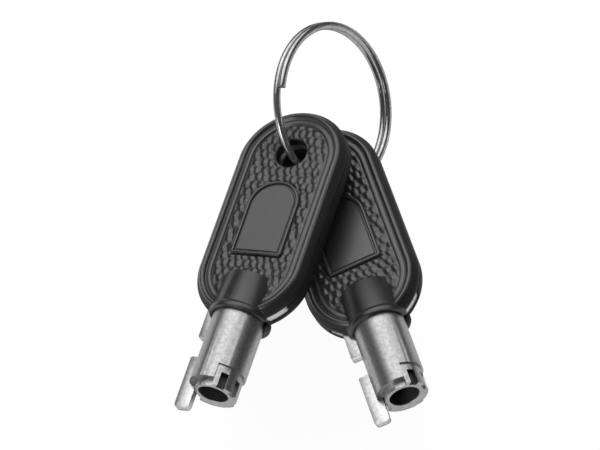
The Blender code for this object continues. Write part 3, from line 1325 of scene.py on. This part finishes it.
@dataclass(frozen=True)
class SplitRing:
    """Two flat turns of rounded wire with one crossing.

    The crossing's two ends and the jog, which is what the wire lacks of two full turns, are
    angles in degrees.
    """

    centre: Point = (4.737, 20.045, 11.030)
    axis: Point = (0.7398, -0.3642, 0.5657)
    cut_direction: Point = (-0.6683, -0.3011, 0.6802)
    mean_radius: float = 11.95
    wire_radial: float = 1.14
    wire_axial: float = 0.88
    corner: float = 0.41
    corner_steps: int = 8
    end_edge: float = 0.05
    end_angle: float = 60.0
    pitch: float = 0.94
    jog: float = 116.0
    crossing: Flat = (72.0, 112.0)
    steps_per_turn: int = 240

    def matrix(self) -> Matrix:
        """Work out the ring's place from its centre, axis and cut.

        Returns:
            The matrix from ring millimetres to world metres.
        """
        axis = Vector(self.axis).normalized()
        across = Vector(self.cut_direction)
        across = (across - axis * across.dot(axis)).normalized()
        turn = Matrix((across, axis.cross(across), axis)).transposed().to_4x4()
        return Matrix.Translation(Vector(self.centre) * MM) @ turn @ Matrix.Scale(MM, 4)

    def wire_height(self, turned: float) -> float:
        """Give the wire's height along the axis after so many degrees from its first end."""
        start, stop = (FULL_TURN - angle for angle in reversed(self.crossing))
        return self.pitch * (0.5 - smoothstep(start, stop, turned))

    def section(self, bm: BMesh) -> list[BMEdge]:
        """Make the wire's rounded section across the first end.

        Args:
            bm: Shape that takes the section.

        Returns:
            The edges of the section.
        """
        wide = self.wire_radial / 2.0 - self.corner
        high = self.wire_axial / 2.0 - self.corner
        points = []
        for sx, sz, start in ((1, 1, 0.0), (-1, 1, 90.0), (-1, -1, 180.0), (1, -1, 270.0)):
            corner = (sx * wide, sz * high)
            points += arc(corner, self.corner, start, start + QUARTER_TURN, self.corner_steps)
        face = bm.faces.new([bm.verts.new((self.mean_radius + x, 0.0, z)) for x, z in points])
        return list(face.edges)

    def build(self) -> BMesh:
        """Sweep the section along both turns and ease the wire's two ends.

        Returns:
            The closed wire in the ring's frame.
        """
        bm = bmesh.new()
        loop = self.section(bm)
        total = 2.0 * FULL_TURN - self.jog
        count = int(self.steps_per_turn * total / FULL_TURN)
        height = self.wire_height(0.0)
        bmesh.ops.translate(bm, verts=bm.verts[:], vec=(0.0, 0.0, height))
        turn = Matrix.Rotation(math.radians(-total / count), 3, "Z")
        for i in range(1, count + 1):
            made = bmesh.ops.extrude_edge_only(bm, edges=loop)["geom"]
            verts = [g for g in made if isinstance(g, BMVert)]
            bmesh.ops.rotate(bm, verts=verts, cent=(0.0, 0.0, 0.0), matrix=turn)
            rise = self.wire_height(total * i / count) - height
            height += rise
            bmesh.ops.translate(bm, verts=verts, vec=(0.0, 0.0, rise))
            loop = [g for g in made if isinstance(g, BMEdge)]
        bmesh.ops.holes_fill(bm, edges=loop, sides=0)
        bmesh.ops.recalc_face_normals(bm, faces=bm.faces[:])
        soften(bm, self.end_edge, self.end_angle)
        return bm


@dataclass(frozen=True)
class KeySet:
    """Both keys and the ring, with their finishes."""

    front: FrontCover = FrontCover()
    rear: RearCover = RearCover()
    barrel: Barrel = Barrel()
    plate: CorePlate = CorePlate()
    ring: SplitRing = SplitRing()

    def dress(self) -> None:
        """Build every piece, give it its finish and place it on its body."""
        plastic = [
            MouldedPlastic("cover_plastic").build(),
            # The wall plastic is a darker, less glossy copy of the cover plastic: painted shade on
            # the head's side walls.
            MouldedPlastic("wall_plastic_painted_shade", gloss=0.25, grey=0.013, roughness=0.50).build(),
            MouldedPlastic(
                "collar_plastic", gloss=0.62, roughness=0.31, low=1.6, proud=4.0
            ).build(),
        ]
        nickel = NickelPlate("barrel_plating", roughness=0.35).build()
        stamped = NickelPlate(
            "plate_plating", grey=0.58, edge_grey=0.30, roughness=0.30, pit_depth=0.00002,
            line_scale=(0.5, 0.5, 0.5),
        ).build()
        # The bore's near-black metal is painted shade in the bore and the first slot.
        bore = PaintedShadeBore("bore_painted_shade").build()
        # Its edge grey of 0.05 darkens the wire's grazing reflections: a painted dark reflection
        # on its rounded edges.
        wire = NickelPlate(
            "ring_plating", grey=0.46, edge_grey=0.05, metallic=0.80, roughness=0.14,
            mottle_per_mm=1.1, pit_depth=0.00002,
        ).build()
        finish_piece(
            self.ring.build(), "ring_wire", self.ring.matrix(), "ring", "split_ring",
            [wire],
        )
        shapes = {
            "front_cover": (self.front.build(), "cover_plastic", plastic),
            "rear_cover": (self.rear.build(), "cover_plastic", plastic),
            "barrel": (self.barrel.build(), "barrel_plating", [nickel, bore]),
        }
        for side in Side:
            for part, (shape, slot, materials) in shapes.items():
                self.dress_part(side, part, shape.copy(), materials)
            self.dress_part(side, "core_plate", self.plate.build(side), [stamped])
            self.dress_pin(side, stamped)

    def dress_part(
        self, side: Side, part: str, shape: BMesh, materials: list[bpy.types.Material]
    ) -> None:
        """Place one part of a key on the key's body.

        Args:
            side: Which key.
            part: The part's name on either key.
            shape: The part in the key's frame; freed here.
            materials: Materials, in the order of the faces' material numbers.
        """
        node = f"{side.value}_{part}"
        placed = POSES[side].matrix()
        finish_piece(
            shape, node + "_detail", placed, "key_" + side.value, node, materials
        )

    def dress_pin(self, side: Side, material: bpy.types.Material) -> None:
        """Give the hidden cross pin its finish, and its coordinates as an attribute.

        Args:
            side: Which key.
            material: The pin's material.
        """
        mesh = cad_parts[side.value + "_cross_pin"].data
        layer = mesh.attributes.new(LOCAL, "FLOAT_VECTOR", "POINT")
        back = POSES[side].matrix().inverted()
        layer.data.foreach_set("vector", [c for v in mesh.vertices for c in back @ v.co])
        mesh.materials.clear()
        mesh.materials.append(material)


# ---------------------------------------------------------------- studio


@dataclass(frozen=True)
class Softbox:
    """Soft light panel that faces the keys; its radiance is 1 where it is as bright as white."""

    name: str
    place: Point
    size: Flat
    radiance: float

    def build(self) -> None:
        """Add the light."""
        width, depth = self.size
        data = bpy.data.lights.new(self.name, "AREA")
        data.shape = "RECTANGLE"
        data.size, data.size_y = width, depth
        data.energy = self.radiance * math.pi * width * depth
        item = add_object(self.name, data)
        item.location = self.place
        item.rotation_euler = (-Vector(self.place)).to_track_quat("-Z", "Y").to_euler()


@dataclass(frozen=True)
class Studio:
    """Floor, light and camera.

    The surround is white below one height of view and dim above another.
    """

    camera_place: Point = (-0.000199, -0.277635, 0.355014)
    camera_right: Point = (1.0, 0.0032, 0.0026)
    camera_up: Point = (-0.0041, 0.7812, 0.6243)
    focal_length: float = 183.13
    sensor: float = 36.0
    nearest: float = 0.01
    floor_half: float = 3.0
    floor_level: float = -0.0135
    paper_grey: float = 0.86
    paper_roughness: float = 0.9
    glow: float = 1.06
    glow_share: float = 0.88
    white_below: float = -0.03
    dim_above: float = 0.02
    white_level: float = 1.0
    dim_level: float = 0.37
    lights: tuple[Softbox, ...] = (
        Softbox("overhead", (-0.04, 0.20, 0.50), (0.95, 0.70), 1.65),
        Softbox("key_light", (-0.12, 0.22, 0.54), (0.36, 0.36), 0.8),
        Softbox("front_fill", (-0.17, -0.30, 0.13), (0.17, 0.17), 5.0),
    )

    def camera(self) -> None:
        """Add the camera at the photograph's place."""
        data = bpy.data.cameras.new("camera")
        data.lens = self.focal_length
        data.sensor_width = self.sensor
        data.clip_start = self.nearest
        item = add_object("camera", data)
        right = Vector(self.camera_right).normalized()
        up = Vector(self.camera_up)
        up = (up - right * up.dot(right)).normalized()
        turn = Matrix((right, up, right.cross(up))).transposed().to_4x4()
        item.matrix_world = Matrix.Translation(self.camera_place) @ turn
        bpy.context.scene.camera = item

    def floor(self) -> None:
        """Add the pale floor, which shows nearly white and keeps a faint shadow.

        It lies below the table's level, so that no pose of a key dips under it.
        """
        nodes = new_material("floor_paper")
        nodes.surface(Base_Color=grey_colour(self.paper_grey), Roughness=self.paper_roughness)
        glow = nodes.add("ShaderNodeEmission", Strength=self.glow)
        share = nodes.calculate("MULTIPLY", nodes.seen_directly(), self.glow_share)
        mix = nodes.add("ShaderNodeMixShader", Fac=share)
        nodes.feed(mix.inputs[1], nodes.shader.outputs[0])
        nodes.feed(mix.inputs[2], glow.outputs[0])
        nodes.feed(nodes.tree.nodes["Material Output"].inputs["Surface"], mix.outputs[0])
        half, low = self.floor_half, self.floor_level
        corners = [(-half, -half, low), (half, -half, low), (half, half, low), (-half, half, low)]
        bm = bmesh.new()
        bm.faces.new([bm.verts.new(corner) for corner in corners])
        item = add_object("floor", mesh_of(bm, "floor"))
        item.data.materials.append(nodes.owner)

    def world(self) -> None:
        """Set a surround that is white at the horizon and dim higher up."""
        bpy.context.scene.world = bpy.data.worlds.new("surround")
        nodes = Nodes(bpy.context.scene.world, "Background")
        where = nodes.add("ShaderNodeTexCoord").outputs["Generated"]
        rise = nodes.add("ShaderNodeSeparateXYZ", Vector=where).outputs["Z"]
        ends = (self.white_level, self.dim_level, self.white_below, self.dim_above)
        nodes.surface(Strength=nodes.span(rise, *ends, interpolation_type="SMOOTHSTEP"))

    def build(self) -> None:
        """Set up everything round the keys."""
        bpy.context.scene.view_settings.view_transform = "Standard"
        self.camera()
        self.floor()
        self.world()
        for light in self.lights:
            light.build()


def main() -> None:
    """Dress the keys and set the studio."""
    logging.basicConfig(level=logging.INFO, format="%(message)s")
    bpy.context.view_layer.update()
    KeySet().dress()
    Studio().build()


if __name__ == "__main__":
    main()
